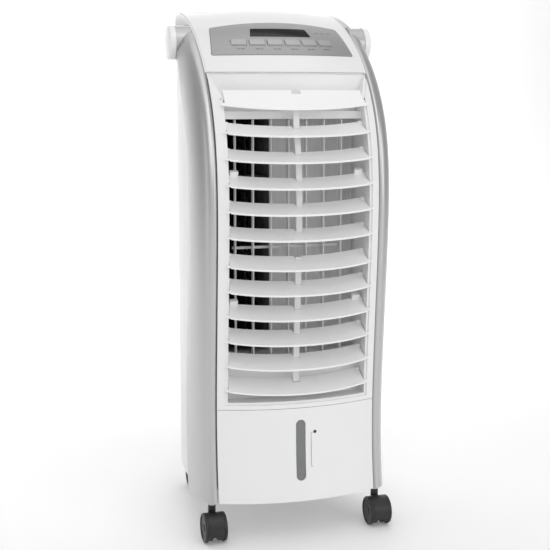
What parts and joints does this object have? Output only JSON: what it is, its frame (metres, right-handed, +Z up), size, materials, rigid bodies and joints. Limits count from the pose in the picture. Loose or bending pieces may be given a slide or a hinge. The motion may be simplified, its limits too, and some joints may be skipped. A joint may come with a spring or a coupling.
{
  "type": "evaporative air cooler",
  "caption": "Tall evaporative air cooler with bowed louvers, swinging vanes, cross-flow fan, rear intake with cooling pad, slide-out water tank, keypad and casters.",
  "frame": {"origin": "on the floor under the middle of the body's width, 146 mm in front of the flat rear face", "axes": "+Z up, -Y towards the louvers at the front, +X towards the right-hand side seen from the front"},
  "size_m": [0.2812, 0.2988, 0.684],
  "materials": {
    "cover_white": "satin moulded",
    "louver_white": "satin moulded",
    "link_white": "moulded",
    "vane_white": "moulded",
    "pillar_silver": "silver paint",
    "handle_silver": "silver paint",
    "cap_white": "gloss",
    "fascia_silver": "silver paint",
    "key_silver": "silver paint",
    "display_black": "gloss",
    "window_grey": "smoked clear plastic",
    "board_green": "lacquered board",
    "volute_grey": "moulded",
    "impeller_black": "moulded",
    "motor_steel": "zinc-plated can",
    "swing_black": "moulded",
    "grille_white": "satin moulded",
    "pad_brown": "corrugated cellulose",
    "trough_grey": "moulded",
    "pump_black": "moulded",
    "hose_grey": "soft tube",
    "screw_steel": "plated",
    "base_grey": "moulded",
    "tank_grey": "moulded",
    "hood_black": "moulded",
    "wheel_black": "moulded"
  },
  "bodies": {
    "housing": {"base": "base_grey", "left_pillar": "pillar_silver", "right_pillar": "pillar_silver", "rear_shell": "cover_white", "top_cover": "cover_white", "control_fascia": "fascia_silver", "display_window": "display_black", "grille_frame": "cover_white", "lower_front_panel": "cover_white", "level_window": "window_grey", "side_handles": "handle_silver", "handle_caps": "cap_white", "control_board": "board_green", "fan_volute": "volute_grey", "fan_motor": "motor_steel", "rear_grille": "grille_white", "cooling_pad": "pad_brown", "water_trough": "trough_grey", "pump": "pump_black", "riser_hose": "hose_grey", "screws": "screw_steel", "swing_motor": "swing_black"},
    "louver_01": {"louver_01": "louver_white"},
    "louver_02": {"louver_02": "louver_white"},
    "louver_03": {"louver_03": "louver_white"},
    "louver_04": {"louver_04": "louver_white"},
    "louver_05": {"louver_05": "louver_white"},
    "louver_06": {"louver_06": "louver_white"},
    "louver_07": {"louver_07": "louver_white"},
    "louver_08": {"louver_08": "louver_white"},
    "louver_09": {"louver_09": "louver_white"},
    "louver_10": {"louver_10": "louver_white"},
    "louver_11": {"louver_11": "louver_white"},
    "louver_12": {"louver_12": "louver_white"},
    "link_upper": {"link_upper": "link_white"},
    "link_lower": {"link_lower": "link_white"},
    "vane_1": {"vane_1": "vane_white"},
    "vane_2": {"vane_2": "vane_white"},
    "vane_3": {"vane_3": "vane_white"},
    "vane_4": {"vane_4": "vane_white"},
    "vane_5": {"vane_5": "vane_white"},
    "vane_6": {"vane_6": "vane_white"},
    "vane_7": {"vane_7": "vane_white"},
    "vane_link": {"vane_link": "link_white"},
    "impeller": {"impeller": "impeller_black"},
    "water_tank": {"water_tank": "tank_grey"},
    "button_1": {"button_1": "key_silver"},
    "button_2": {"button_2": "key_silver"},
    "button_3": {"button_3": "key_silver"},
    "button_4": {"button_4": "key_silver"},
    "button_5": {"button_5": "key_silver"},
    "button_6": {"button_6": "key_silver"},
    "caster_hood_front_left": {"caster_hood_front_left": "hood_black"},
    "caster_wheels_front_left": {"caster_wheels_front_left": "wheel_black"},
    "caster_hood_front_right": {"caster_hood_front_right": "hood_black"},
    "caster_wheels_front_right": {"caster_wheels_front_right": "wheel_black"},
    "caster_hood_rear_left": {"caster_hood_rear_left": "hood_black"},
    "caster_wheels_rear_left": {"caster_wheels_rear_left": "wheel_black"},
    "caster_hood_rear_right": {"caster_hood_rear_right": "hood_black"},
    "caster_wheels_rear_right": {"caster_wheels_rear_right": "wheel_black"}
  },
  "joints": [
    {"name": "louver_01_hinge", "type": "hinge", "parent": "housing", "child": "louver_01", "pos_m": [0, -0.0958, 0.5628], "axis": [1, 0, 0], "range_deg": [-30, 2]},
    {"name": "louver_02_hinge", "type": "hinge", "parent": "housing", "child": "louver_02", "pos_m": [0, -0.09698, 0.53265], "axis": [1, 0, 0], "range_deg": [-30, 2]},
    {"name": "louver_03_hinge", "type": "hinge", "parent": "housing", "child": "louver_03", "pos_m": [0, -0.10495, 0.50055], "axis": [1, 0, 0], "range_deg": [-30, 2]},
    {"name": "louver_04_hinge", "type": "hinge", "parent": "housing", "child": "louver_04", "pos_m": [0, -0.1088, 0.46845], "axis": [1, 0, 0], "range_deg": [-30, 2]},
    {"name": "louver_05_hinge", "type": "hinge", "parent": "housing", "child": "louver_05", "pos_m": [0, -0.10984, 0.43635], "axis": [1, 0, 0], "range_deg": [-30, 2]},
    {"name": "louver_06_hinge", "type": "hinge", "parent": "housing", "child": "louver_06", "pos_m": [0, -0.10909, 0.40425], "axis": [1, 0, 0], "range_deg": [-30, 2]},
    {"name": "louver_07_hinge", "type": "hinge", "parent": "housing", "child": "louver_07", "pos_m": [0, -0.10792, 0.36987], "axis": [1, 0, 0], "range_deg": [-30, 2]},
    {"name": "louver_08_hinge", "type": "hinge", "parent": "housing", "child": "louver_08", "pos_m": [0, -0.1059, 0.33777], "axis": [1, 0, 0], "range_deg": [-30, 2]},
    {"name": "louver_09_hinge", "type": "hinge", "parent": "housing", "child": "louver_09", "pos_m": [0, -0.10366, 0.30567], "axis": [1, 0, 0], "range_deg": [-30, 2]},
    {"name": "louver_10_hinge", "type": "hinge", "parent": "housing", "child": "louver_10", "pos_m": [0, -0.10135, 0.27357], "axis": [1, 0, 0], "range_deg": [-30, 2]},
    {"name": "louver_11_hinge", "type": "hinge", "parent": "housing", "child": "louver_11", "pos_m": [0, -0.09914, 0.24147], "axis": [1, 0, 0], "range_deg": [-30, 2]},
    {"name": "louver_12_hinge", "type": "hinge", "parent": "housing", "child": "louver_12", "pos_m": [0, -0.09735, 0.20937], "axis": [1, 0, 0], "range_deg": [-30, 2]},
    {"name": "link_upper_pin", "type": "hinge", "parent": "louver_04", "child": "link_upper", "pos_m": [0, -0.1204, 0.46231], "axis": [1, 0, 0], "range_deg": [-2, 30]},
    {"name": "link_lower_pin", "type": "hinge", "parent": "louver_09", "child": "link_lower", "pos_m": [0, -0.11481, 0.29874], "axis": [1, 0, 0], "range_deg": [-2, 30]},
    {"name": "vane_1_pivot", "type": "hinge", "parent": "housing", "child": "vane_1", "pos_m": [-0.0711, -0.074, 0.3855], "axis": [0, 0, 1], "range_deg": [-20, 40]},
    {"name": "vane_2_pivot", "type": "hinge", "parent": "housing", "child": "vane_2", "pos_m": [-0.0474, -0.074, 0.3855], "axis": [0, 0, 1], "range_deg": [-20, 40]},
    {"name": "vane_3_pivot", "type": "hinge", "parent": "housing", "child": "vane_3", "pos_m": [-0.0237, -0.074, 0.3855], "axis": [0, 0, 1], "range_deg": [-20, 40]},
    {"name": "vane_4_pivot", "type": "hinge", "parent": "housing", "child": "vane_4", "pos_m": [0, -0.074, 0.3855], "axis": [0, 0, 1], "range_deg": [-20, 40]},
    {"name": "vane_5_pivot", "type": "hinge", "parent": "housing", "child": "vane_5", "pos_m": [0.0237, -0.074, 0.3855], "axis": [0, 0, 1], "range_deg": [-20, 40]},
    {"name": "vane_6_pivot", "type": "hinge", "parent": "housing", "child": "vane_6", "pos_m": [0.0474, -0.074, 0.3855], "axis": [0, 0, 1], "range_deg": [-20, 40]},
    {"name": "vane_7_pivot", "type": "hinge", "parent": "housing", "child": "vane_7", "pos_m": [0.0711, -0.074, 0.3855], "axis": [0, 0, 1], "range_deg": [-20, 40]},
    {"name": "vane_link_pin", "type": "hinge", "parent": "vane_4", "child": "vane_link", "pos_m": [0.00139, -0.06612, 0.373], "axis": [0, 0, 1], "range_deg": [-40, 20]},
    {"name": "impeller_spin", "type": "hinge", "parent": "housing", "child": "impeller", "pos_m": [-0.034, 0.024, 0.228], "axis": [0, 0, 1], "continuous": true},
    {"name": "tank_slide", "type": "slide", "parent": "housing", "child": "water_tank", "axis": [0, 1, 0], "range_m": [0, 0.14]},
    {"name": "button_1_press", "type": "slide", "parent": "housing", "child": "button_1", "axis": [0, 0.5592, -0.829], "range_m": [0, 0.0012], "stiffness_N_per_m": 600},
    {"name": "button_2_press", "type": "slide", "parent": "housing", "child": "button_2", "axis": [0, 0.5592, -0.829], "range_m": [0, 0.0012], "stiffness_N_per_m": 600},
    {"name": "button_3_press", "type": "slide", "parent": "housing", "child": "button_3", "axis": [0, 0.5592, -0.829], "range_m": [0, 0.0012], "stiffness_N_per_m": 600},
    {"name": "button_4_press", "type": "slide", "parent": "housing", "child": "button_4", "axis": [0, 0.5592, -0.829], "range_m": [0, 0.0012], "stiffness_N_per_m": 600},
    {"name": "button_5_press", "type": "slide", "parent": "housing", "child": "button_5", "axis": [0, 0.5592, -0.829], "range_m": [0, 0.0012], "stiffness_N_per_m": 600},
    {"name": "button_6_press", "type": "slide", "parent": "housing", "child": "button_6", "axis": [0, 0.5592, -0.829], "range_m": [0, 0.0012], "stiffness_N_per_m": 600},
    {"name": "front_left_swivel", "type": "hinge", "parent": "housing", "child": "caster_hood_front_left", "pos_m": [-0.1123, -0.1063, 0.055], "axis": [0, 0, 1], "continuous": true},
    {"name": "front_left_roll", "type": "hinge", "parent": "caster_hood_front_left", "child": "caster_wheels_front_left", "pos_m": [-0.1123, -0.1173, 0.019], "axis": [1, 0, 0], "continuous": true},
    {"name": "front_right_swivel", "type": "hinge", "parent": "housing", "child": "caster_hood_front_right", "pos_m": [0.1123, -0.1063, 0.055], "axis": [0, 0, 1], "continuous": true},
    {"name": "front_right_roll", "type": "hinge", "parent": "caster_hood_front_right", "child": "caster_wheels_front_right", "pos_m": [0.1123, -0.1173, 0.019], "axis": [1, 0, 0], "continuous": true},
    {"name": "rear_left_swivel", "type": "hinge", "parent": "housing", "child": "caster_hood_rear_left", "pos_m": [-0.084, 0.112, 0.055], "axis": [0, 0, 1], "continuous": true},
    {"name": "rear_left_roll", "type": "hinge", "parent": "caster_hood_rear_left", "child": "caster_wheels_rear_left", "pos_m": [-0.084, 0.101, 0.019], "axis": [1, 0, 0], "continuous": true},
    {"name": "rear_right_swivel", "type": "hinge", "parent": "housing", "child": "caster_hood_rear_right", "pos_m": [0.084, 0.112, 0.055], "axis": [0, 0, 1], "continuous": true},
    {"name": "rear_right_roll", "type": "hinge", "parent": "caster_hood_rear_right", "child": "caster_wheels_rear_right", "pos_m": [0.084, 0.101, 0.019], "axis": [1, 0, 0], "continuous": true}
  ],
  "couplings": [
    {"joint": "louver_01_hinge", "follows": "louver_04_hinge", "ratio": 1},
    {"joint": "louver_02_hinge", "follows": "louver_04_hinge", "ratio": 1},
    {"joint": "louver_03_hinge", "follows": "louver_04_hinge", "ratio": 1},
    {"joint": "louver_05_hinge", "follows": "louver_04_hinge", "ratio": 1},
    {"joint": "louver_06_hinge", "follows": "louver_04_hinge", "ratio": 1},
    {"joint": "link_upper_pin", "follows": "louver_04_hinge", "ratio": -1},
    {"joint": "louver_07_hinge", "follows": "louver_09_hinge", "ratio": 1},
    {"joint": "louver_08_hinge", "follows": "louver_09_hinge", "ratio": 1},
    {"joint": "louver_10_hinge", "follows": "louver_09_hinge", "ratio": 1},
    {"joint": "louver_11_hinge", "follows": "louver_09_hinge", "ratio": 1},
    {"joint": "louver_12_hinge", "follows": "louver_09_hinge", "ratio": 1},
    {"joint": "link_lower_pin", "follows": "louver_09_hinge", "ratio": -1},
    {"joint": "vane_1_pivot", "follows": "vane_4_pivot", "ratio": 1},
    {"joint": "vane_2_pivot", "follows": "vane_4_pivot", "ratio": 1},
    {"joint": "vane_3_pivot", "follows": "vane_4_pivot", "ratio": 1},
    {"joint": "vane_5_pivot", "follows": "vane_4_pivot", "ratio": 1},
    {"joint": "vane_6_pivot", "follows": "vane_4_pivot", "ratio": 1},
    {"joint": "vane_7_pivot", "follows": "vane_4_pivot", "ratio": 1},
    {"joint": "vane_link_pin", "follows": "vane_4_pivot", "ratio": -1}
  ]
}
